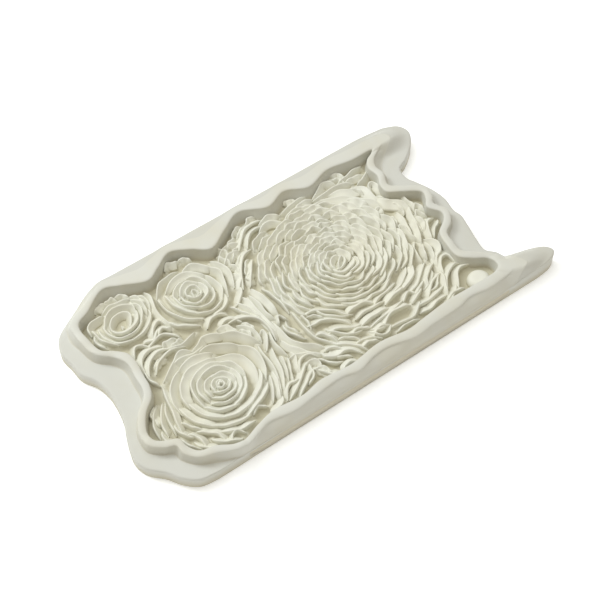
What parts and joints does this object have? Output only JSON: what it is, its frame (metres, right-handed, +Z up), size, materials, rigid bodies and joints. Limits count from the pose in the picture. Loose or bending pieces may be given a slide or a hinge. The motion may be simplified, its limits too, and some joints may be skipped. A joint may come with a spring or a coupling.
{
  "type": "resin casting mould",
  "caption": "Open-faced silicone casting mould with a wavy pouring wall round a cavity of roses in relief, flat edge flanges and two pull tabs.",
  "frame": {"origin": "middle of the flat underside, at the centre of the bounding box", "axes": "+X along the mould towards its two pull tabs, +Y towards the two small roses' straight side, +Z up out of the open cavity"},
  "size_m": [0.197, 0.1, 0.0115],
  "materials": {
    "silicone_sheet": "matte cast silicone, light grey",
    "silicone_wall": "matte cast silicone, light warm grey",
    "silicone_petals": "matte cast silicone, warmer in its hollows"
  },
  "bodies": {
    "root": {"backing_sheet": "silicone_sheet", "cavity_floor": "silicone_petals", "left_flange": "silicone_sheet", "right_flange": "silicone_sheet", "rear_pull_tab": "silicone_sheet", "front_pull_tab": "silicone_sheet", "rear_wall_left": "silicone_wall", "rear_wall_right": "silicone_wall", "front_wall_left": "silicone_wall", "front_wall_right": "silicone_wall", "left_wall_rear": "silicone_wall", "left_wall_front": "silicone_wall", "right_wall_rear": "silicone_wall", "right_wall_front": "silicone_wall", "large_rose_bud": "silicone_petals", "large_rose_inner_petals": "silicone_petals", "large_rose_middle_petals": "silicone_petals", "large_rose_outer_petals": "silicone_petals", "medium_rose_bud": "silicone_petals", "medium_rose_inner_petals": "silicone_petals", "medium_rose_outer_petals": "silicone_petals", "rear_rose_bud": "silicone_petals", "rear_rose_inner_petals": "silicone_petals", "rear_rose_outer_petals": "silicone_petals", "corner_rose_bud": "silicone_petals", "corner_rose_petals": "silicone_petals", "left_edge_petals": "silicone_petals", "centre_petals": "silicone_petals", "front_fan_petals": "silicone_petals", "rear_edge_petals": "silicone_petals", "right_edge_petals": "silicone_petals", "pocket_petal": "silicone_petals"}
  },
  "joints": []
}
